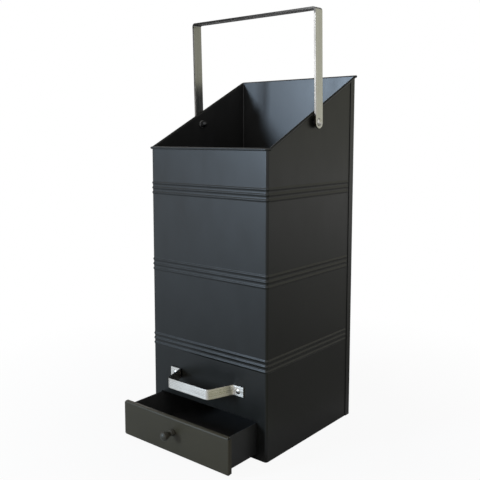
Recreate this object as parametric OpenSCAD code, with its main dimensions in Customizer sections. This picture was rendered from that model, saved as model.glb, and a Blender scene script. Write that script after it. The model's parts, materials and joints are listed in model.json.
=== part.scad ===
// Pellet bucket: a square sheet-steel bucket with a sloping open top, a swinging bail,
// a fixed handle low on the front and a dust drawer under a sieve plate.
// Millimetres. X runs across the front, the front faces -Y, Z is up.
// The origin is the middle of the underside, which stands on the floor.

/* [Body] */
// Outside width of the body
body_w = 230; // [190:1:290]
// Outside depth of the body
body_d = 230; // [190:1:290]
// Height of the rim at the front
front_h = 450; // [370:1:560]
// How much higher the rim is at the back
rim_rise = 113; // [20:1:200]
// Thickness of the steel sheet
sheet_t = 1; // [0.8:0.1:1.2]
// Outside radius of the two bent front corners
corner_r = 4; // [3:0.5:6]
// Width of the flanges that the back panel laps over the side walls
lap_w = 13; // [9:1:18]
// Outside radius of the back panel's bent corners
back_corner_r = 2.5; // [2.3:0.1:3.5]

/* [Rolled rim] */
// Diameter of the rolled edge
roll_d = 4; // [3.2:0.2:5]
// Distance from the wall's outside to the middle of the roll
roll_out = 1.2; // [1:0.1:1.4]

/* [Ribs] */
// Ribs in a band
rib_count = 3; // [1:1:4]
// Bands of ribs
band_count = 3; // [1:1:3]
// Width of a rib
rib_w = 5.6; // [4:0.2:6.4]
// Height of a rib
rib_h = 1.2; // [0.6:0.1:1.4]
// Distance between the ribs of a band
rib_pitch = 7.6; // [6.6:0.1:9]
// Distance from the front rim down to the first rib
first_rib_drop = 57; // [40:0.5:80]
// Distance from the fixed handle's middle up to the lowest rib
low_rib_rise = 38.5; // [25:0.5:60]
// Plain strip between the ribs' ends and a lap or bend
rib_end_gap = 4; // [3:0.5:10]

/* [Bottom] */
// Height of the bottom plate's turned-up edge
pan_h = 8; // [6:0.5:12]

/* [Drawer] */
// How much narrower than the body the tray is on each side
tray_inset = 18; // [15:0.5:30]
// How much shorter than the body the tray is
tray_shorter = 15; // [12:1:60]
// Outside height of the tray
tray_h = 47; // [36:1:60]
// Gap between the tray and each runner
tray_side_gap = 1; // [0.6:0.1:2]
// Gap between the tray and the shelf that it slides on
tray_seat_gap = 0.3; // [0.2:0.05:0.5]
// Gap between the tray's top and the top of the bay
bay_top_gap = 1.5; // [1:0.1:3]
// How far the front panel covers the wall beside the bay
front_side_lap = 8.5; // [5:0.5:9]
// How far the front panel covers the wall above the bay
front_top_lap = 3; // [1.5:0.5:6]
// Gap between the tray's underside and the front panel's lower fold
front_fold_gap = 0.1; // [0.1:0.1:1]
// Depth of the front panel's folded edges
front_edge = 6; // [4:0.5:9]
// Outside radius of the front panel's folds
front_fold_r = 2.4; // [2:0.1:3]
// How far the drawer stands open
drawer_pull = 66.5; // [0:0.5:150]

/* [Knob] */
// Diameter of the knob's head
knob_d = 13; // [12:0.5:20]
// Length of the knob
knob_len = 23; // [18:0.5:28]
// Height of the knob above the middle of the front panel
knob_lift = 6; // [-4:0.5:8]
// Diameter of the knob's screw
knob_screw_d = 4; // [3:0.5:5]
// Length of the screw inside the knob
knob_screw_grip = 9; // [6:0.5:9]

/* [Runners] */
// Width of the shelf under the tray
runner_shelf = 12; // [8:0.5:16]
// Height of the guide beside the tray
runner_guide = 15; // [8:0.5:20]
// Width of the foot on the bottom plate
runner_foot = 10; // [6:0.5:14]
// Distance of the runners' front ends behind the front wall
runner_front_gap = 2; // [1.5:0.5:10]
// Distance of the runners' back ends in front of the back wall
runner_back_gap = 14; // [2:0.5:18]

/* [Sieve] */
// Gap between the top of the bay and the ledges
ledge_rise = 1; // [0.5:0.5:6]
// Width of the ledges
ledge_w = 12; // [9:0.5:14]
// Height of the ledges
ledge_h = 6.5; // [5:0.5:10]
// Gap between the sieve plate and the walls
sieve_gap = 0.5; // [0.3:0.1:1]
// Diameter of the sieve's holes
sieve_hole_d = 4.5; // [3:0.1:5.5]
// Distance between the sieve's holes
sieve_pitch = 12.8; // [9:0.1:20]

/* [Front handle] */
// Height of the handle's middle above the top of the bay
handle_rise = 38.5; // [25:0.5:60]
// Width of the handle's strip
handle_w = 15; // [10:0.5:20]
// Thickness of the handle's strip
handle_t = 2.5; // [2:0.1:3]
// Width of the grip, outside
grip_w = 82; // [66:1:110]
// Distance between the outer ends of the tabs
handle_span = 148; // [140:1:170]
// Length of a tab
tab_len = 20; // [16:0.5:22]
// Distance from the wall to the outside of the grip
grip_out = 43; // [32:1:55]
// Inside radius of the bends at the ends of the grip
grip_bend_r = 5; // [1.5:0.5:8]
// Inside radius of the bends at the tabs
tab_bend_r = 2; // [1.5:0.5:4]
// Diameter of the handle's rivets
rivet_d = 5; // [4:0.5:6]

/* [Bail] */
// Width of the bail's bar
bail_w = 18; // [14:0.5:22]
// Thickness of the bail's bar
bail_t = 3; // [2:0.1:4]
// Gap between the rolled rim and the bail's legs
bail_side_gap = 0.8; // [0.5:0.1:3]
// Gap between the back rim and the inside of the crossbar as it swings past
bail_rim_gap = 24; // [8:0.5:40]
// Inside radius of the bail's bends
bail_bend_r = 2; // [1.5:0.5:12]
// How far the bail leans to the front
bail_lean = 1.7; // [0:0.1:4]
// Distance of the pivots behind the middle of the body
pivot_y = 2; // [-10:0.5:10]
// Depth of the pivots below the rim
pivot_drop = 20; // [16:0.5:40]
// Diameter of the pivot bolts
pivot_d = 6; // [5:0.5:8]
// Diameter of the pivot bolts' heads
pivot_head_d = 12; // [9:0.5:14]

/* [Fits] */
// Radial gap of a shaft in its hole
fit_gap = 0.05; // [0.03:0.01:0.1]
// Gap between flat faces that move past each other
face_gap = 0.25; // [0.2:0.05:0.4]

/* [Hidden] */
$fn = 48;
// How far joined bodies and cutting bodies run past a shared face
past = 1;

black = [0.16, 0.17, 0.17];
dark = [0.12, 0.12, 0.11];
steel = [0.72, 0.71, 0.69];

// Half sizes of the body, outside and inside
half_w = body_w / 2;
half_d = body_d / 2;
back_h = front_h + rim_rise;
in_x = half_w - sheet_t;
in_y = half_d - sheet_t;
roll_r = roll_d / 2;

// The side walls run from the front corners to just short of the back panel's bends
side_front_y = corner_r - half_d;
side_back_y = in_y - (back_corner_r - sheet_t);
lap_front_y = half_d - lap_w;
rib_back_y = lap_front_y - rib_end_gap;

// Middle of the rolled rim along a side wall
function rim_z(y) = front_h + (back_h - front_h) * (y - side_front_y) / (half_d - side_front_y);
function roll_z(y) = rim_z(y) - roll_r;
slope = atan((back_h - front_h) / (half_d - side_front_y));

// Drawer bay and drawer
tray_w = body_w - 2 * tray_inset;
tray_d = body_d - tray_shorter;
bay_bottom = pan_h;
tray_bottom = bay_bottom + tray_seat_gap;
bay_top = tray_bottom + tray_h + bay_top_gap;
bay_w = tray_w + 2 * tray_side_gap;
front_w = bay_w + 2 * front_side_lap;
front_z0 = tray_bottom - front_fold_r - front_fold_gap;
front_z1 = bay_top + front_top_lap;
front_mid_z = (front_z0 + front_z1) / 2;
// Outside face of the front panel as the drawer stands
front_face_y = -half_d - face_gap - front_edge - drawer_pull;
tray_front_y = front_face_y + sheet_t;
knob_z = front_mid_z + knob_lift;

// Sieve and ledges
ledge_bottom = bay_top + ledge_rise;
sieve_z = ledge_bottom + ledge_h;

// Front handle
handle_z = bay_top + handle_rise;
rivet_x = handle_span / 2 - tab_len / 2;
rivet_head_d = rivet_d * 1.8;
washer_t = 1.2;

// Ribs, lowest first: the bands are spread evenly between the fixed handle and the rim
rib_steps = 8;
top_rib_z = front_h - first_rib_drop;
low_rib_z = handle_z + low_rib_rise;
band_h = (rib_count - 1) * rib_pitch;
band_pitch = (top_rib_z - band_h - low_rib_z) / max(band_count - 1, 1);
rib_mids = [for (b = [band_count - 1:-1:0]) for (k = [rib_count - 1:-1:0])
    top_rib_z - b * band_pitch - k * rib_pitch];
// Level above the top band where the side walls' sloping part begins
plain_z = top_rib_z + rib_w / 2 + rib_end_gap;

// Bail: legs outside the rolled rim, pivots below the rim, crossbar clear of the back rim
pivot_z = rim_z(pivot_y) - pivot_drop;
leg_in_x = half_w + roll_out + roll_r + bail_side_gap;
leg_out_x = leg_in_x + bail_t;
back_rim_reach = norm([half_d + roll_out + roll_r - pivot_y, back_h - pivot_z]);
bail_h = back_rim_reach + bail_rim_gap + bail_t;
nut_across = pivot_d * 10 / 6;
nut_len = pivot_d * 0.8;
nut_end_gap = 0.5;

// Points of an arc about c
function arc(c, r, a0, a1, n) =
    [for (i = [0:n]) c + r * [cos(a0 + (a1 - a0) * i / n), sin(a0 + (a1 - a0) * i / n)]];

function reverse(list) = [for (i = [len(list) - 1:-1:0]) list[i]];
function unit(v) = v / norm(v);
function angle_of(v) = atan2(v[1], v[0]);

// One edge of a strip as it goes round the bend at p1, off to the left of its middle line
function bend_points(p0, p1, p2, r, off, n) =
    let (u = unit(p0 - p1), v = unit(p2 - p1), half = acos(u * v) / 2,
         c = p1 + unit(u + v) * r / sin(half),
         turn = sign(cross(p1 - p0, p2 - p1)),
         a = angle_of(p1 + u * r / tan(half) - c))
    arc(c, r - turn * off, a, a + turn * (180 - 2 * half), n);

function edge_points(path, r, off, n) =
    let (m = len(path) - 1, d0 = unit(path[1] - path[0]), d1 = unit(path[m] - path[m - 1]))
    concat([path[0] + off * [-d0[1], d0[0]]],
           [for (i = [1:m - 1])
               each bend_points(path[i - 1], path[i], path[i + 1], is_list(r) ? r[i - 1] : r, off, n)],
           [path[m] + off * [-d1[1], d1[0]]]);

// Section of a sheet or bar of thickness t bent along a path, r is the bends' middle radius,
// or a list of each bend's own
module strip(path, r, t, n = 6) {
    polygon(concat(edge_points(path, r, t / 2, n), reverse(edge_points(path, r, -t / 2, n))));
}

// Rectangle with rounded corners
function round_rect(x, y, r, n = 6) = concat(
    arc([x - r, -y + r], r, -90, 0, n), arc([x - r, y - r], r, 0, 90, n),
    arc([-x + r, y - r], r, 90, 180, n), arc([-x + r, -y + r], r, 180, 270, n));

// Height of a rib at a fraction of its width
function rib_rise(f) = rib_h / 2 * (1 - cos(360 * f));

// The ribs as points of a wall's section, base is the flat wall's place
function rib_points(base) = [for (mid = rib_mids) for (i = [0:rib_steps])
    [base + rib_rise(i / rib_steps), mid + rib_w * (i / rib_steps - 0.5)]];

// Section of a ribbed wall up to the level top, x points out of the bucket
module ribbed_section(top) {
    polygon(concat([[0, 0]], rib_points(0), [[0, top], [-sheet_t, top]],
                   reverse(rib_points(-sheet_t)), [[-sheet_t, 0]]));
}

// Section of a ribbed wall that ends in a rolled rim at the level top
module rolled_section(top) {
    mid = [roll_out, top - roll_r];
    start = 180 + acos(roll_out / roll_r);
    polygon(concat([[0, 0]], rib_points(0), arc(mid, roll_r, start, 540, 16),
                   [[-sheet_t, mid[1]]], reverse(rib_points(-sheet_t)), [[-sheet_t, 0]]));
}

// Puts a section along X on a wall that faces -Y, from x0 to x1
module along_x(x0, x1) {
    translate([x0, 0, 0]) mirror([0, 1, 0]) rotate([90, 0, 90]) linear_extrude(x1 - x0) children();
}

// Puts a section along Y on a wall that faces +X, from y0 to y1
module along_y(y0, y1) {
    translate([0, y1, 0]) rotate([90, 0, 0]) linear_extrude(y1 - y0) children();
}

// Rounded ends of the ribs, lying on the plane z = base, with x along the wall and y up
module rib_ends(base) {
    root = -sheet_t / 5;
    for (mid = rib_mids)
        translate([0, mid, base]) rotate([0, 0, -90]) rotate_extrude(angle = 180)
            polygon(concat([[0, root]], [for (i = [rib_steps / 2:rib_steps])
                [rib_w * (i / rib_steps - 0.5), rib_rise(i / rib_steps)]], [[rib_w / 2, root]]));
}

// A plain wall panel with the ribs' rounded ends, in a section's place along its own end
module rib_end_panel(length, height) {
    difference() {
        union() {
            translate([0, 0, -sheet_t]) linear_extrude(sheet_t) square([length, height]);
            rib_ends(0);
        }
        rib_ends(-sheet_t);
    }
}

// One side wall of the wrap, on the +X side
module side_wall() {
    translate([half_w, 0, 0]) {
        along_y(side_front_y, rib_back_y) ribbed_section(plain_z);
        along_y(rib_back_y, side_back_y) translate([-sheet_t, 0]) square([sheet_t, plain_z]);
    }
    translate([in_x, 0, 0]) rotate([90, 0, 90]) linear_extrude(sheet_t)
        polygon([[side_front_y, plain_z], [side_back_y, plain_z], [side_back_y, roll_z(side_back_y)],
                 [side_front_y, roll_z(side_front_y)]]);
}

// Rolled rim of the side wall, cut upright at both ends
module side_roll() {
    length = 2 * body_d / cos(slope);
    intersection() {
        translate([half_w + roll_out, side_front_y, roll_z(side_front_y)]) rotate([slope - 90, 0, 0])
            translate([0, 0, -length / 2]) cylinder(h = length, d = roll_d);
        translate([half_w - roll_d, side_front_y, 0])
            cube([roll_d * 3, side_back_y - side_front_y, back_h + roll_d]);
    }
}

module pivot_holes() {
    translate([-body_w, pivot_y, pivot_z]) rotate([0, 90, 0])
        cylinder(h = body_w * 2, d = pivot_d + 2 * fit_gap);
}

module rivet_holes() {
    for (side = [-1, 1])
        translate([side * rivet_x, -in_y + past, handle_z]) rotate([90, 0, 0])
            cylinder(h = sheet_t + handle_t + 2 * past, d = rivet_d + 2 * fit_gap);
}

module body_wrap() {
    flat_x = half_w - corner_r;
    color(black) difference() {
        union() {
            translate([0, -half_d, 0]) along_x(-flat_x, flat_x) rolled_section(front_h);
            for (flip = [0, 1]) mirror([flip, 0, 0]) {
                translate([flat_x, side_front_y, 0]) rotate([0, 0, -90]) rotate_extrude(angle = 90)
                    translate([corner_r, 0]) rolled_section(front_h);
                side_wall();
                side_roll();
            }
        }
        translate([-bay_w / 2, -half_d - past, bay_bottom])
            cube([bay_w, sheet_t + 2 * past, bay_top - bay_bottom]);
        pivot_holes();
        rivet_holes();
    }
}

// The back panel, its rolled rim with rounded ends, its two bent corners and the flanges
// that lap over the side walls
module back_panel() {
    flat_x = half_w + sheet_t - back_corner_r;
    rib_x = flat_x - rib_end_gap - rib_w / 2;
    bend_y = half_d - back_corner_r;
    roll_x = half_w + roll_out;
    wall_top = back_h - roll_r;
    flange_drop = roll_r / cos(slope) + roll_r + face_gap;
    color(black) {
        translate([0, half_d, 0]) mirror([0, 1, 0]) {
            along_x(-rib_x, rib_x) ribbed_section(wall_top);
            along_x(-roll_x, roll_x) polygon(arc([roll_out, wall_top], roll_r, 0, 345, 23));
            for (flip = [0, 1]) mirror([flip, 0, 0]) {
                translate([rib_x, 0, 0]) rotate([90, 0, 0]) rib_end_panel(flat_x - rib_x, wall_top);
                translate([roll_x, -roll_out, wall_top]) rotate([0, 0, -90]) rotate_extrude(angle = 180)
                    polygon(arc([0, 0], roll_r, -90, 90, 12));
            }
        }
        for (flip = [0, 1]) mirror([flip, 0, 0]) {
            translate([flat_x, bend_y, 0]) linear_extrude(wall_top)
                polygon(concat(arc([0, 0], back_corner_r, 0, 90, 8),
                               reverse(arc([0, 0], back_corner_r - sheet_t, 0, 90, 8))));
            translate([half_w, 0, 0]) rotate([90, 0, 90]) linear_extrude(sheet_t)
                polygon([[lap_front_y, 0], [bend_y, 0], [bend_y, rim_z(bend_y) - flange_drop],
                         [lap_front_y, rim_z(lap_front_y) - flange_drop]]);
        }
    }
}

// The bottom plate fits inside the walls, its corners clear of their bends
module bottom_plate() {
    color(black) difference() {
        linear_extrude(pan_h) polygon(round_rect(in_x, in_y, corner_r));
        translate([0, 0, sheet_t]) linear_extrude(pan_h)
            polygon(round_rect(in_x - sheet_t, in_y - sheet_t, corner_r - sheet_t));
    }
}

module sieve_plate() {
    x = in_x - sieve_gap;
    y = in_y - sieve_gap;
    reach_x = floor((in_x - ledge_w - sieve_hole_d) / sieve_pitch);
    reach_y = floor((in_y - ledge_w - sieve_hole_d) / sieve_pitch);
    color(dark) translate([0, 0, sieve_z]) linear_extrude(sheet_t) difference() {
        polygon(round_rect(x, y, corner_r));
        for (i = [-reach_x:reach_x]) for (j = [-reach_y:reach_y])
            translate([i, j] * sieve_pitch) circle(d = sieve_hole_d, $fn = 24);
    }
}

// A ledge along X on a wall that faces into the bucket along +Y, its inner corner at the origin
module ledge(length) {
    rotate([90, 0, 90]) translate([0, 0, -length / 2]) linear_extrude(length)
        strip([[sheet_t / 2, 0], [sheet_t / 2, ledge_h - sheet_t / 2], [ledge_w, ledge_h - sheet_t / 2]],
              sheet_t, sheet_t, 4);
}

ledge_x_len = 2 * (in_x - corner_r);
ledge_y_len = 2 * (in_y - ledge_w - sheet_t);

module front_ledge() {
    color(dark) translate([0, -in_y, ledge_bottom]) ledge(ledge_x_len);
}

module back_ledge() {
    color(dark) translate([0, in_y, ledge_bottom]) rotate([0, 0, 180]) ledge(ledge_x_len);
}

module left_ledge() {
    color(dark) translate([-in_x, 0, ledge_bottom]) rotate([0, 0, -90]) ledge(ledge_y_len);
}

module right_ledge() {
    color(dark) translate([in_x, 0, ledge_bottom]) rotate([0, 0, 90]) ledge(ledge_y_len);
}

// A runner's section: foot on the bottom plate, shelf under the tray, guide beside the tray
module runner() {
    guide_x = bay_w / 2 + sheet_t / 2;
    web_x = guide_x - runner_shelf;
    foot_z = sheet_t * 1.5;
    shelf_z = bay_bottom - sheet_t / 2;
    translate([0, in_y - runner_back_gap, 0]) rotate([90, 0, 0])
        linear_extrude(2 * in_y - runner_back_gap - runner_front_gap)
            strip([[web_x - runner_foot, foot_z], [web_x, foot_z], [web_x, shelf_z], [guide_x, shelf_z],
                   [guide_x, shelf_z + runner_guide]], sheet_t, sheet_t, 4);
}

module left_runner() {
    color(dark) mirror([1, 0, 0]) runner();
}

module right_runner() {
    color(dark) runner();
}

// Hole for the knob's screw through the front panel and the tray
module knob_hole() {
    translate([0, tray_front_y + sheet_t + past, knob_z]) rotate([90, 0, 0])
        cylinder(h = 2 * (sheet_t + past), d = knob_screw_d + 2 * fit_gap);
}

// The tray, its front wall against the back of the front panel
module drawer_tray() {
    color(dark) difference() {
        translate([-tray_w / 2, tray_front_y, tray_bottom]) difference() {
            cube([tray_w, tray_d, tray_h]);
            translate([sheet_t, sheet_t, sheet_t])
                cube([tray_w - 2 * sheet_t, tray_d - 2 * sheet_t, tray_h]);
        }
        knob_hole();
    }
}

// The front panel: a flat face with all four edges folded back, notched at the corners
module drawer_front() {
    x = front_w / 2 - sheet_t / 2;
    z0 = front_z0 + sheet_t / 2;
    z1 = front_z1 - sheet_t / 2;
    fold = front_fold_r - sheet_t / 2;
    color(dark) translate([0, front_face_y, 0]) difference() {
        union() {
            translate([0, 0, front_z0 + front_fold_r]) linear_extrude(front_z1 - front_z0 - 2 * front_fold_r)
                strip([[-x, front_edge], [-x, sheet_t / 2], [x, sheet_t / 2], [x, front_edge]],
                      fold, sheet_t);
            translate([-front_w / 2 + front_fold_r, 0, 0]) rotate([90, 0, 90])
                linear_extrude(front_w - 2 * front_fold_r)
                    strip([[front_edge, z0], [sheet_t / 2, z0], [sheet_t / 2, z1], [front_edge, z1]],
                          fold, sheet_t);
        }
        translate([0, -front_face_y, 0]) knob_hole();
    }
}

// A turned knob: foot, slim neck and domed head
module drawer_knob() {
    foot_r = knob_d * 0.4;
    neck_r = knob_d * 0.24;
    head_r = knob_d / 2;
    dome_r = knob_d * 0.62;
    cove_x = foot_r + knob_d * 0.04;
    cove_z = knob_len / 3;
    rim_z0 = knob_len * 0.64;
    chamfer = knob_d * 0.05;
    color(dark) translate([0, front_face_y, knob_z]) rotate([90, 0, 0]) difference() {
        rotate_extrude()
            polygon(concat([[0, 0], [foot_r, 0], [foot_r, knob_len * 0.065]],
                           arc([cove_x, cove_z], cove_x - neck_r, 235, 125, 10),
                           [[head_r - chamfer, rim_z0], [head_r, rim_z0 + chamfer]],
                           arc([0, knob_len - dome_r], dome_r, acos(head_r / dome_r) + 4, 90, 10)));
        translate([0, 0, -past])
            cylinder(h = knob_screw_grip + 2 * past, d = knob_screw_d + 2 * fit_gap);
    }
}

// Pan head screw from inside the tray
module knob_screw() {
    head_y = tray_front_y + sheet_t + washer_t;
    slot_w = knob_screw_d / 5;
    color(steel) translate([0, head_y, knob_z]) rotate([90, 0, 0]) difference() {
        union() {
            cylinder(h = washer_t + 2 * sheet_t + knob_screw_grip, d = knob_screw_d);
            rotate([180, 0, 0]) rotate_extrude()
                polygon(concat([[0, 0]], arc([0, 0], knob_screw_d, 0, 40, 6), [[0, knob_screw_d * 0.64]]));
        }
        translate([0, 0, -knob_screw_d]) for (a = [0, 90]) rotate([0, 0, a])
            translate([-knob_screw_d / 2, -slot_w / 2, 0]) cube([knob_screw_d, slot_w, knob_screw_d * 0.75]);
    }
}

module washer(hole_d, d) {
    difference() {
        cylinder(h = washer_t, d = d);
        translate([0, 0, -past]) cylinder(h = washer_t + 2 * past, d = hole_d + 2 * fit_gap);
    }
}

module knob_washer() {
    color(steel) translate([0, tray_front_y + sheet_t + washer_t, knob_z]) rotate([90, 0, 0])
        washer(knob_screw_d, knob_screw_d * 2.25);
}

// Bent strip with a tab at each end, flat against the front wall
module front_handle() {
    half = handle_span / 2;
    tab_y = -half_d - handle_t / 2;
    grip_y = -half_d - grip_out + handle_t / 2;
    bend_x = half - tab_len;
    grip_x = grip_w / 2 - handle_t / 2;
    tab_r = tab_bend_r + handle_t / 2;
    grip_r = grip_bend_r + handle_t / 2;
    color(steel) difference() {
        translate([0, 0, handle_z - handle_w / 2]) linear_extrude(handle_w)
            strip([[-half, tab_y], [-bend_x, tab_y], [-grip_x, grip_y], [grip_x, grip_y],
                   [bend_x, tab_y], [half, tab_y]], [tab_r, grip_r, grip_r, tab_r], handle_t);
        rivet_holes();
    }
}

// Low domed head whose flat side is on the plane z = 0
module dome_head(d, h) {
    r = (d * d / 4 + h * h) / (2 * h);
    rotate_extrude() polygon(concat([[0, 0]], arc([0, h - r], r, acos(d / 2 / r), 90, 8)));
}

// Rivets through the tabs, the front wall and the washers behind it
module handle_rivets() {
    shank = handle_t + sheet_t + washer_t;
    color(steel) for (side = [-1, 1])
        translate([side * rivet_x, -half_d - handle_t, handle_z]) rotate([-90, 0, 0]) {
            cylinder(h = shank, d = rivet_d);
            rotate([180, 0, 0]) dome_head(rivet_head_d, rivet_d * 0.4);
            translate([0, 0, shank]) dome_head(rivet_head_d * 0.85, rivet_d * 0.35);
        }
}

module handle_washers() {
    color(steel) for (side = [-1, 1])
        translate([side * rivet_x, -in_y + washer_t, handle_z]) rotate([90, 0, 0])
            washer(rivet_d, rivet_d * 2.4);
}

// The bail: a bar bent to a rectangular U, its legs rounded and drilled at the pivots
module bail() {
    mid_x = leg_out_x - bail_t / 2;
    top = bail_h - bail_t / 2;
    color(steel) translate([0, pivot_y, pivot_z]) rotate([bail_lean, 0, 0]) difference() {
        union() {
            translate([0, bail_w / 2, 0]) rotate([90, 0, 0]) linear_extrude(bail_w)
                strip([[-mid_x, 0], [-mid_x, top], [mid_x, top], [mid_x, 0]],
                      bail_bend_r + bail_t / 2, bail_t, 8);
            for (x = [-leg_out_x, leg_in_x]) translate([x, 0, 0]) rotate([90, 0, 90]) linear_extrude(bail_t)
                polygon(arc([0, 0], bail_w / 2, 180, 360, 20));
        }
        translate([-body_w, 0, 0]) rotate([0, 90, 0]) cylinder(h = body_w * 2, d = pivot_d + 2 * fit_gap);
    }
}

// Places a piece at both pivots, its z axis pointing out of the bucket
module at_pivots() {
    for (side = [-1, 1]) translate([0, pivot_y, pivot_z]) rotate([0, side * 90, 0]) children();
}

module pivot_bolts() {
    head_x = leg_out_x + face_gap;
    thread_x = in_x - washer_t - nut_len + nut_end_gap;
    color(steel) at_pivots() {
        translate([0, 0, thread_x]) cylinder(h = head_x - thread_x, d = pivot_d);
        translate([0, 0, head_x]) dome_head(pivot_head_d, pivot_d * 0.38);
    }
}

module pivot_spacers() {
    color(dark) at_pivots() translate([0, 0, half_w]) difference() {
        cylinder(h = leg_in_x - face_gap - half_w, d = pivot_head_d);
        translate([0, 0, -past]) cylinder(h = leg_in_x, d = pivot_d + 2 * fit_gap);
    }
}

module pivot_washers() {
    color(steel) at_pivots() translate([0, 0, in_x - washer_t]) washer(pivot_d, pivot_d * 2.1);
}

// Cap nuts, closed towards the inside of the bucket
module pivot_nuts() {
    cap_r = nut_across * 0.46;
    nut_x = in_x - washer_t - nut_len;
    color(steel) at_pivots() translate([0, 0, nut_x]) difference() {
        union() {
            cylinder(h = nut_len, d = nut_across / cos(30), $fn = 6);
            rotate([180, 0, 0]) rotate_extrude() polygon(concat([[0, -nut_end_gap]],
                [[cap_r, -nut_end_gap]], arc([0, 0], cap_r, 0, 90, 8)));
        }
        cylinder(h = nut_len + past, d = pivot_d + 2 * fit_gap);
    }
}

body_wrap();
back_panel();
bottom_plate();
sieve_plate();
front_ledge();
back_ledge();
left_ledge();
right_ledge();
left_runner();
right_runner();
drawer_tray();
drawer_front();
drawer_knob();
knob_screw();
knob_washer();
front_handle();
handle_rivets();
handle_washers();
bail();
pivot_bolts();
pivot_spacers();
pivot_washers();
pivot_nuts();
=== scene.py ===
import json
import math

import bpy
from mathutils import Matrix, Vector


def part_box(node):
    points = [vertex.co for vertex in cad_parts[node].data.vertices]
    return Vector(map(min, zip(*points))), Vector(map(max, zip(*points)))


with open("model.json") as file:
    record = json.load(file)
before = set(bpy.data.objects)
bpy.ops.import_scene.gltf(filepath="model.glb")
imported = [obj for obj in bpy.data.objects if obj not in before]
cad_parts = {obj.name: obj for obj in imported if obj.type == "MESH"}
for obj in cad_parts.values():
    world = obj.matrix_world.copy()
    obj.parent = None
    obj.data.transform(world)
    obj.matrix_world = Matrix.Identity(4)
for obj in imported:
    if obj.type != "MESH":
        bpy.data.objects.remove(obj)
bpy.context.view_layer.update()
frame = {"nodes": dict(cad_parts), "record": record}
nodes = frame["nodes"]

# Places on the bucket, in metres. A face starts to count as looking at a point FACING_FROM in front of it,
# and counts in full from FACING_FULL.

HALF_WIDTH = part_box("body_wrap")[1][0]
BUCKET_MIDDLE = (0.0, 0.0, 0.3)
TRAY_MIDDLE = (0.0, -0.08, 0.045)
BAIL_MIDDLE = (0.0, 0.002, 0.56)
CROSSBAR_DEPTH = 0.008
CROSSBAR_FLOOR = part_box("bail")[1][2] - CROSSBAR_DEPTH
FACING_FROM = 0.006
FACING_FULL = 0.02

# Powder coat: waves per metre, depths and radii in metres, colours in linear parts. A pair is a range.

CLOUD_WAVES = 7.0
CLOUD_TONE = (0.88, 1.12)
SMUDGE_WAVES = 38.0
SMUDGE_STRETCH = (1.0, 1.0, 0.45)
PEEL_WAVES = 420.0
PEEL_DEPTH = 0.00002
GRAIN_WAVES = 1500.0
GRAIN_SHARE = 0.25
GRAIN_GLOSS = (-0.02, 0.02)
WALL_WAVES = 6.0
WALL_WAVE_DEPTH = 0.0004
COAT_RADIUS = 0.0004
COAT_SAMPLES = 4
# Rubbed edges: a lighter colour along sharp edges, which is wear and also a painted edge highlight
RUBBED_GLINT_RADIUS = 0.0008
RUBBED_GLINT_COSINE = (0.995, 0.8)
RUBBED_GLINT_SMUDGE = (0.35, 0.62)
RUBBED_GLINT_SHARE = (0.15, 0.8)
# A lighter film on faces that look inward: dust, and painted light on the shaded inside
DUST_AND_LIGHT_SHARE = (0.7, 1.0)
BLACK = (0.0085, 0.0088, 0.0076)
BLACK_WORN_GLINT = (0.025, 0.025, 0.024)
DARK = (0.016, 0.016, 0.0155)
DARK_WORN_GLINT = (0.03, 0.03, 0.028)
# Colours of that film, dust and painted light
BIN_DUST_AND_LIGHT = (0.026, 0.026, 0.026)
TRAY_DUST_AND_LIGHT = (0.06, 0.06, 0.06)

# Brushed steel, in the same units

ALONG = 6.0
ACROSS = 900.0
BROAD_SHARE = 0.22
BRUSH_SUM = (0.6, 1.4)
BRUSH_TONE = (0.84, 1.08)
BRUSH_DEPTH = 0.000006
BRUSH_SKEW = 0.05
MARK_WAVES = 22.0
MARK_GLOSS = (-0.03, 0.04)
METAL_RADIUS = 0.0003
METAL_SAMPLES = 8
# Painted shade: how much darker the faces inside a bent strip are painted
INNER_PAINTED_SHADE = 0.55
SHEARED_COSINE = (0.7, 0.9)
# Sheared edges are painted dark, a painted shade, darker still above the crossbar's underside
SHEARED_TONE = (0.14, 0.113, 0.094)
SHEARED_GLOSS = -0.04
SHEARED_FADE = 0.003
SHEARED_SHADE = 0.26

# Moulded plastic, in the same units

PLASTIC_WAVES = 60.0
PLASTIC_TONE = (0.85, 1.15)
PLASTIC_GRAIN_WAVES = 2500.0
PLASTIC_GRAIN_DEPTH = 0.00001
PLASTIC_ROUGH = 0.55

# Camera, fitted to the photograph: millimetres, metres and degrees. Its lens is shifted down instead of
# being tilted further, which keeps upright edges nearly parallel.

LENS = 50.80
SENSOR = 36.0
LENS_SHIFT = -0.06
CAMERA_PLACE = (0.6750, -0.8523, 0.4662)
CAMERA_DOWN = 6.33
CAMERA_TURN = 39.55

# Studio. The floor turns white to the camera over FLOOR_WHITENS metres from the bucket's middle, and to
# reflections over FLOOR_MIRRORS.

FLOOR_HALF = 8.0
FLOOR_TONE = (0.8, 0.8, 0.8)
FLOOR_WHITENS = (0.25, 0.7)
FLOOR_NEAR_WHITE = 0.93
FLOOR_MIRRORS = (1.0, 5.0)
FLAG_LIFT = 0.004
TOP_FLAG_LIFT = 0.006
CEILING_HEIGHT = 2.5
WORLD_LIGHT = 0.4
WHITE = (1.0, 1.0, 1.0)
WINDOW_PLACE = (-1.09, -2.33, 0.80)
WINDOW_AIM = (0.0, 0.0, 0.47)
WINDOW_SIZE = (0.5, 0.75)
WINDOW_WATTS = 52
WINDOW_TINT = (0.63, 0.80, 1.0)


# Short calls for node trees

def feed(tree, socket, value):
    """Links an output to a socket or sets the socket's value. A colour is given by its three parts."""
    if isinstance(value, bpy.types.NodeSocket):
        tree.links.new(value, socket)
    elif socket.type == "RGBA":
        socket.default_value = (*value, 1.0)
    else:
        socket.default_value = value


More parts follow.
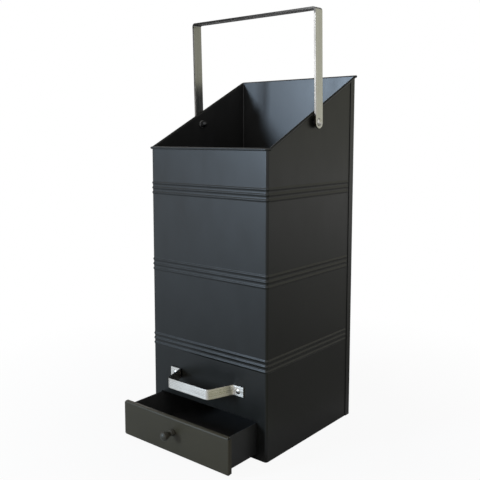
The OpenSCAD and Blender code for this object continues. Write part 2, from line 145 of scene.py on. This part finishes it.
def add(tree, kind, inputs=None, **settings):
    """A node of a kind, with its settings and the values or links of its inputs."""
    made = tree.nodes.new(kind)
    for key, value in settings.items():
        setattr(made, key, value)
    for key, value in (inputs or {}).items():
        feed(tree, made.inputs[key], value)
    return made


def math_node(tree, operation, a, b=0.0, c=0.0, clamp=False):
    return add(tree, "ShaderNodeMath", {0: a, 1: b, 2: c}, operation=operation, use_clamp=clamp).outputs[0]


def vector_node(tree, operation, a, b=(0, 0, 0)):
    made = add(tree, "ShaderNodeVectorMath", {0: a, 1: b}, operation=operation)
    return made.outputs["Value"] if operation in ("DOT_PRODUCT", "LENGTH") else made.outputs[0]


def scaled(tree, vector, factor):
    return add(tree, "ShaderNodeVectorMath", {0: vector, "Scale": factor}, operation="SCALE").outputs[0]


def object_place(tree):
    return add(tree, "ShaderNodeTexCoord").outputs["Object"]


def stretched(tree, scale):
    """Object coordinates, scaled by axis."""
    return add(tree, "ShaderNodeMapping", {"Vector": object_place(tree), "Scale": scale}).outputs[0]


def noise(tree, waves, detail=2.0, roughness=0.5, coords=None, distortion=0.0):
    """Noise from 0 to 1, by default in object coordinates and so in waves per metre."""
    coords = coords or object_place(tree)
    return add(tree, "ShaderNodeTexNoise", {"Vector": coords, "Scale": waves, "Detail": detail,
                                            "Roughness": roughness, "Distortion": distortion}).outputs[0]


def spread(tree, value, low, high, out_low=0.0, out_high=1.0):
    """value from low to high becomes out_low to out_high, and stays within them."""
    return add(tree, "ShaderNodeMapRange", {0: value, 1: low, 2: high, 3: out_low, 4: out_high},
               clamp=True).outputs[0]


def uneven(tree, noise_value, out_low, out_high, swing=0.2):
    """out_low to out_high, following a noise that swings this far to either side of 0.5."""
    return spread(tree, noise_value, 0.5 - swing, 0.5 + swing, out_low, out_high)


def mix_colours(tree, share, a, b):
    """Colour a where share is 0, b where it is 1."""
    return add(tree, "ShaderNodeMix", {0: share, 6: a, 7: b}, data_type="RGBA").outputs[2]


def rounded(tree, radius, samples):
    """The normal of a surface whose edges are rounded."""
    return add(tree, "ShaderNodeBevel", {"Radius": radius}, samples=samples).outputs[0]


def bump(tree, height, distance, normal):
    """The normal tilted by the slope of height, where 1 stands for a distance in metres."""
    return add(tree, "ShaderNodeBump", {"Height": height, "Distance": distance, "Strength": 1.0,
                                        "Normal": normal}).outputs[0]


def new_material(name):
    material = bpy.data.materials.new(name)
    material.use_nodes = True
    tree = material.node_tree
    return material, tree, tree.nodes["Principled BSDF"]


def set_shader(tree, shader, values):
    for key, value in values.items():
        feed(tree, shader.inputs[key], value)


# Masks

def edge_mask(tree, radius):
    """1 along sharp edges, fading over radius."""
    normal = add(tree, "ShaderNodeNewGeometry").outputs["Normal"]
    same = vector_node(tree, "DOT_PRODUCT", rounded(tree, radius, COAT_SAMPLES), normal)
    return spread(tree, same, *RUBBED_GLINT_COSINE)


def inner_side(tree, centre):
    """1 on the faces that look at a point in object coordinates, such as the inside of a bend or box."""
    coords = add(tree, "ShaderNodeTexCoord")
    inward = vector_node(tree, "SUBTRACT", centre, coords.outputs["Object"])
    facing = vector_node(tree, "DOT_PRODUCT", inward, coords.outputs["Normal"])
    return spread(tree, facing, FACING_FROM, FACING_FULL)


def sheared_edges(tree, width):
    """1 on the edges of a strip, where the direction of its width is the normal."""
    normal = add(tree, "ShaderNodeTexCoord").outputs["Normal"]
    facing = math_node(tree, "ABSOLUTE", vector_node(tree, "DOT_PRODUCT", normal, width))
    return spread(tree, facing, *SHEARED_COSINE)


# Materials

def wall_shape(tree, dish):
    """Height in metres of a thin wall: slow waves, and a dish that rises to the wall's edges."""
    slow = noise(tree, WALL_WAVES, detail=1.0, roughness=0.4, distortion=0.4)
    wave = math_node(tree, "MULTIPLY", slow, WALL_WAVE_DEPTH)
    off_axis = vector_node(tree, "LENGTH", stretched(tree, (1.0, 1.0, 0.0)))
    share = math_node(tree, "DIVIDE", off_axis, HALF_WIDTH)
    return math_node(tree, "MULTIPLY_ADD", math_node(tree, "MULTIPLY", share, share), dish, wave)


def powder_coat(name, base, worn_glint, rough=(0.31, 0.38), specular=0.4, dish=0.0, dust_and_light_centre=None, dust_and_light=BIN_DUST_AND_LIGHT):
    """Satin powder coat: orange peel, uneven gloss, faintly rubbed edges painted lighter, which is wear
    and also a painted edge highlight. With a dish it is a thin wall, wavy and dished by that much at its
    edges. Faces that look at the given point get a lighter film, which is dust and also painted light on
    their shade."""
    material, tree, shader = new_material(name)
    cloud = noise(tree, CLOUD_WAVES, detail=3.0, roughness=0.55)
    smudge = noise(tree, SMUDGE_WAVES, detail=4.0, roughness=0.6, coords=stretched(tree, SMUDGE_STRETCH))
    grain = noise(tree, GRAIN_WAVES, detail=2.0, roughness=0.6)
    # Painted highlight: sharp edges are painted lighter, as wear and as edge glints
    rubbed_glint = math_node(tree, "MULTIPLY", edge_mask(tree, RUBBED_GLINT_RADIUS),
                       spread(tree, smudge, *RUBBED_GLINT_SMUDGE, *RUBBED_GLINT_SHARE))
    tint = mix_colours(tree, rubbed_glint, scaled(tree, base, uneven(tree, cloud, *CLOUD_TONE)), worn_glint)
    # Painted light: faces that look inward get a lighter film, which is dust and also brightens their
    # shade
    if dust_and_light_centre:
        dust_and_light_film = math_node(tree, "MULTIPLY", inner_side(tree, dust_and_light_centre), uneven(tree, smudge, *DUST_AND_LIGHT_SHARE))
        tint = mix_colours(tree, dust_and_light_film, tint, dust_and_light)
    fine_gloss = uneven(tree, grain, *GRAIN_GLOSS, swing=0.3)
    gloss = math_node(tree, "ADD", uneven(tree, smudge, *rough), fine_gloss)
    surface = rounded(tree, COAT_RADIUS, COAT_SAMPLES)
    if dish:
        surface = bump(tree, wall_shape(tree, dish), 1.0, surface)
    orange = noise(tree, PEEL_WAVES, detail=1.5, roughness=0.4)
    peel = math_node(tree, "MULTIPLY_ADD", grain, GRAIN_SHARE, orange)
    set_shader(tree, shader, {"Base Color": tint, "Roughness": gloss, "Specular IOR Level": specular,
                              "Normal": bump(tree, peel, PEEL_DEPTH, surface)})
    return material


def edge_tint(tree, tint, dark_above):
    """The tint of a strip's sheared edges, a painted shade, darkest above a height in object coordinates.
    """
    edge = vector_node(tree, "MULTIPLY", tint, SHEARED_TONE)
    if not dark_above:
        return edge
    height = add(tree, "ShaderNodeSeparateXYZ", {0: object_place(tree)}).outputs[2]
    shade = spread(tree, height, dark_above - SHEARED_FADE, dark_above, 1.0, SHEARED_SHADE)
    return scaled(tree, edge, shade)


def brush_tangent(tree, width):
    """The direction of a strip's width, skewed a little so that no face is square to it."""
    skewed = tuple(part + BRUSH_SKEW for part in width)
    return add(tree, "ShaderNodeVectorTransform", {0: skewed}, vector_type="VECTOR", convert_from="OBJECT",
               convert_to="WORLD").outputs[0]


def brushed(name, base, waves, rough=(0.22, 0.36), anisotropy=0.0, width=None, centre=None,
            dark_above=None):
    """Brushed steel. waves is per metre and by axis: many across the strip, few along it. width is the
    direction of a strip's width, and its sheared edges are painted dark, a painted shade that is darkest
    above dark_above. On a strip bent round centre, the faces that look at centre are painted darker, a
    painted shade."""
    material, tree, shader = new_material(name)
    fine = noise(tree, 1.0, detail=3.0, roughness=0.65, coords=stretched(tree, waves))
    broad_waves = tuple(count * BROAD_SHARE for count in waves)
    broad = noise(tree, 1.0, coords=stretched(tree, broad_waves))
    marks = noise(tree, MARK_WAVES, detail=4.0, roughness=0.6)
    tone = spread(tree, math_node(tree, "ADD", fine, broad), *BRUSH_SUM, *BRUSH_TONE)
    mark_gloss = uneven(tree, marks, *MARK_GLOSS, swing=0.15)
    gloss = math_node(tree, "ADD", uneven(tree, fine, *rough), mark_gloss)
    # Painted shade: faces that look at centre, inside the bend, are painted darker
    if centre:
        inner_shade = spread(tree, inner_side(tree, centre), 0.0, 1.0, 1.0, INNER_PAINTED_SHADE)
        tone = math_node(tree, "MULTIPLY", tone, inner_shade)
    tint = scaled(tree, base, tone)
    if width:
        sheared = sheared_edges(tree, width)
        gloss = math_node(tree, "MULTIPLY_ADD", sheared, SHEARED_GLOSS, gloss)
        # Painted shade: the sheared edges are painted dark
        tint = mix_colours(tree, sheared, tint, edge_tint(tree, tint, dark_above))
        set_shader(tree, shader, {"Tangent": brush_tangent(tree, width)})
    normal = bump(tree, fine, BRUSH_DEPTH, rounded(tree, METAL_RADIUS, METAL_SAMPLES))
    set_shader(tree, shader, {"Base Color": tint, "Metallic": 1.0, "Roughness": gloss, "Normal": normal,
                              "Anisotropic": anisotropy})
    return material


def plastic(name, base):
    """Matt moulded plastic with a fine grain."""
    material, tree, shader = new_material(name)
    tint = scaled(tree, base, uneven(tree, noise(tree, PLASTIC_WAVES), *PLASTIC_TONE))
    smooth_normal = add(tree, "ShaderNodeNewGeometry").outputs["Normal"]
    normal = bump(tree, noise(tree, PLASTIC_GRAIN_WAVES), PLASTIC_GRAIN_DEPTH, smooth_normal)
    set_shader(tree, shader, {"Base Color": tint, "Roughness": PLASTIC_ROUGH, "Normal": normal})
    return material


COATS = {
    "black_coat": dict(base=BLACK, worn_glint=BLACK_WORN_GLINT, specular=0.37, dish=0.0006, dust_and_light_centre=BUCKET_MIDDLE),
    "inner_coat": dict(base=BLACK, worn_glint=BLACK_WORN_GLINT, specular=0.45, dish=0.0009, dust_and_light_centre=BUCKET_MIDDLE),
    "dark_coat": dict(base=DARK, worn_glint=DARK_WORN_GLINT, rough=(0.32, 0.44)),
    "tray_coat": dict(base=DARK, worn_glint=DARK_WORN_GLINT, rough=(0.32, 0.44), dust_and_light_centre=TRAY_MIDDLE, dust_and_light=TRAY_DUST_AND_LIGHT),
    "drawer_coat": dict(base=(0.035, 0.029, 0.0155), worn_glint=(0.045, 0.042, 0.034), rough=(0.42, 0.5),
                        specular=0.35),
    "knob_coat": dict(base=(0.034, 0.030, 0.020), worn_glint=(0.05, 0.048, 0.042), rough=(0.46, 0.56)),
}

METALS = {
    # The bail's sheared edges and inner faces carry painted shade
    "stainless_bail": dict(base=(0.58, 0.575, 0.55), waves=(ALONG, ACROSS, ALONG), anisotropy=0.6,
                           width=(0, 1, 0), centre=BAIL_MIDDLE, dark_above=CROSSBAR_FLOOR),
    "stainless_handle": dict(base=(0.86, 0.81, 0.735), waves=(ALONG, ALONG, ACROSS), anisotropy=0.7,
                             width=(0, 0, 1)),
    "stainless_turned": dict(base=(0.62, 0.61, 0.58), waves=(300, 300, 300)),
    "zinc": dict(base=(0.50, 0.50, 0.50), waves=(240, 240, 240), rough=(0.3, 0.45)),
    "dark_zinc": dict(base=(0.06, 0.06, 0.062), waves=(240, 240, 240), rough=(0.35, 0.5)),
}

materials = {name: powder_coat(name, **look) for name, look in COATS.items()}
materials.update({name: brushed(name, **look) for name, look in METALS.items()})
materials["nylon"] = plastic("nylon", (0.012, 0.012, 0.012))

# Nodes whose look isn't the one named after their slot

SPECIAL = {"back_panel": "inner_coat", "drawer_tray": "tray_coat", "bail": "stainless_bail",
           "front_handle": "stainless_handle", "handle_rivets": "stainless_turned",
           "pivot_bolts": "stainless_turned"}

slots = {row["node"]: row["material_slot"] for row in frame["record"]["subparts"]}
for node_name, obj in nodes.items():
    obj.data.materials.clear()
    obj.data.materials.append(materials[SPECIAL.get(node_name, slots[node_name])])


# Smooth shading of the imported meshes

SMOOTH_DEGREES = 35
WELD_DISTANCE = 0.000002
FACE_WEIGHT = 80


def smooth_group():
    """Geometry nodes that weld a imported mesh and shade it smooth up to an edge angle."""
    group = bpy.data.node_groups.new("smooth_by_angle", "GeometryNodeTree")
    for side in ("INPUT", "OUTPUT"):
        group.interface.new_socket("Geometry", in_out=side, socket_type="NodeSocketGeometry")
    packed = group.nodes.new("NodeGroupInput").outputs[0]
    weld = add(group, "GeometryNodeMergeByDistance",
               {"Geometry": packed, "Distance": WELD_DISTANCE}).outputs[0]
    angle = add(group, "GeometryNodeInputMeshEdgeAngle").outputs["Unsigned Angle"]
    sharp = add(group, "FunctionNodeCompare", {"A": angle, "B": math.radians(SMOOTH_DEGREES)},
                data_type="FLOAT", operation="GREATER_THAN").outputs[0]
    shaded = add(group, "GeometryNodeSetMeshNormal", {"Mesh": weld, "Remove Custom": True,
                                                      "Edge Sharpness": sharp, "Face Sharpness": False},
                 mode="SHARPNESS").outputs[0]
    add(group, "NodeGroupOutput", {0: shaded})
    return group


smooth = smooth_group()
for obj in nodes.values():
    obj.modifiers.new("smooth", "NODES").node_group = smooth
    weights = obj.modifiers.new("weights", "WEIGHTED_NORMAL")
    weights.keep_sharp = True
    weights.weight = FACE_WEIGHT


# Floor, world, lights and camera

def bare_tree(owner):
    """The emptied node tree of a material or world."""
    owner.use_nodes = True
    owner.node_tree.nodes.clear()
    return owner.node_tree


def place_object(name, data):
    obj = bpy.data.objects.new(name, data)
    bpy.context.scene.collection.objects.link(obj)
    return obj


def staged_card(name, corners):
    """A four-cornered card of the studio, and the emptied node tree of its material."""
    mesh = bpy.data.meshes.new(name)
    mesh.from_pydata(corners, [], [(0, 1, 2, 3)])
    card = place_object(name, mesh)
    material = bpy.data.materials.new(name)
    mesh.materials.append(material)
    return card, bare_tree(material)


def level(x, y, height):
    """The corners of a level card from x[0] to x[1] and y[0] to y[1]."""
    return [(x[0], y[0], height), (x[1], y[0], height), (x[1], y[1], height), (x[0], y[1], height)]


def upright(start, end, height):
    """The corners of an upright card over the line from start to end, from height[0] to height[1]."""
    return [(*start, height[0]), (*end, height[0]), (*end, height[1]), (*start, height[1])]


def make_floor():
    """A pale floor that the camera sees white, a little less so near the bucket. It lights the bucket as a
    pale floor does, and shows in reflections as white further out."""
    tree = staged_card("floor", level((-FLOOR_HALF, FLOOR_HALF), (-FLOOR_HALF, FLOOR_HALF), 0))[1]
    path = add(tree, "ShaderNodeLightPath")
    pale = add(tree, "ShaderNodeBsdfDiffuse", {"Color": FLOOR_TONE}).outputs[0]
    white = add(tree, "ShaderNodeEmission", {"Color": WHITE, "Strength": 1.0}).outputs[0]
    away = vector_node(tree, "LENGTH", object_place(tree))
    straight = math_node(tree, "MAXIMUM", path.outputs["Is Camera Ray"],
                         path.outputs["Is Transmission Ray"])
    seen = math_node(tree, "MULTIPLY", straight,
                     spread(tree, away, *FLOOR_WHITENS, FLOOR_NEAR_WHITE, 1.0))
    mirrored = math_node(tree, "MULTIPLY", path.outputs["Is Glossy Ray"],
                         spread(tree, away, *FLOOR_MIRRORS))
    share = math_node(tree, "ADD", seen, mirrored, clamp=True)
    both = add(tree, "ShaderNodeMixShader", {0: share, 1: pale, 2: white}).outputs[0]
    add(tree, "ShaderNodeOutputMaterial", {"Surface": both})


def make_world():
    """White where it is seen, straight or mirrored, and weaker as a light."""
    world = bpy.data.worlds.new("studio")
    bpy.context.scene.world = world
    tree = bare_tree(world)
    path = add(tree, "ShaderNodeLightPath")
    shown = math_node(tree, "ADD", path.outputs["Is Camera Ray"], path.outputs["Is Glossy Ray"])
    shown = math_node(tree, "ADD", shown, path.outputs["Is Transmission Ray"], clamp=True)
    strength = spread(tree, shown, 0.0, 1.0, WORLD_LIGHT, 1.0)
    background = add(tree, "ShaderNodeBackground", {"Color": WHITE, "Strength": strength}).outputs[0]
    add(tree, "ShaderNodeOutputWorld", {"Surface": background})


def make_camera():
    lens = bpy.data.cameras.new("camera")
    lens.lens = LENS
    lens.sensor_width = SENSOR
    lens.shift_y = LENS_SHIFT
    camera = place_object("camera", lens)
    camera.location = CAMERA_PLACE
    camera.rotation_euler = (math.radians(90 - CAMERA_DOWN), 0.0, math.radians(CAMERA_TURN))
    bpy.context.scene.camera = camera


def make_window():
    """The one lamp, a soft box of cool light in front and to the left."""
    light = bpy.data.lights.new("window", "AREA")
    light.color = WINDOW_TINT
    light.shape = "RECTANGLE"
    light.size, light.size_y = WINDOW_SIZE
    light.energy = WINDOW_WATTS
    window = place_object("window", light)
    window.location = WINDOW_PLACE
    towards = Vector(WINDOW_AIM) - Vector(WINDOW_PLACE)
    window.rotation_euler = towards.to_track_quat("-Z", "Y").to_euler()
    window.visible_camera = False


def make_flag(name, corners, tone):
    """A card near the bucket that only reflections see, as a studio's flags are."""
    card, tree = staged_card(name, corners)
    card.visible_camera = card.visible_diffuse = card.visible_shadow = False
    glow = add(tree, "ShaderNodeEmission", {"Color": tone, "Strength": 1.0}).outputs[0]
    add(tree, "ShaderNodeOutputMaterial", {"Surface": glow})


# The corners and the colour of each flag

FLAGS = {
    "left_flag": (level((-6.0, -0.1), (0.5, 7.0), FLAG_LIFT), (0.05, 0.05, 0.05)),
    "window_flag": (upright((-3.1, -0.9), (-0.9, -3.1), (0.5, 1.7)), (0.06, 0.06, 0.06)),
    "back_flag": (upright((0.3, 3.6), (4.6, 1.2), (0.3, 3.4)), (0.60, 0.60, 0.50)),
    "right_flag": (level((0.2, 1.6), (0.0, 1.4), FLAG_LIFT), (0.31, 0.31, 0.29)),
    "near_flag": (level((0.15, 0.5), (0.0, 0.55), TOP_FLAG_LIFT), (0.20, 0.20, 0.19)),
    "front_right_flag": (level((0.18, 1.4), (-0.9, 0.0), FLAG_LIFT), (0.27, 0.28, 0.20)),
    "ceiling_flag": (level((-2.2, 2.0), (0.2, 3.4), CEILING_HEIGHT), (0.12, 0.12, 0.12)),
}

make_floor()
make_world()
make_camera()
make_window()
for flag_name, (corners, tone) in FLAGS.items():
    make_flag(flag_name, corners, tone)

bpy.context.scene.view_settings.view_transform = "Standard"
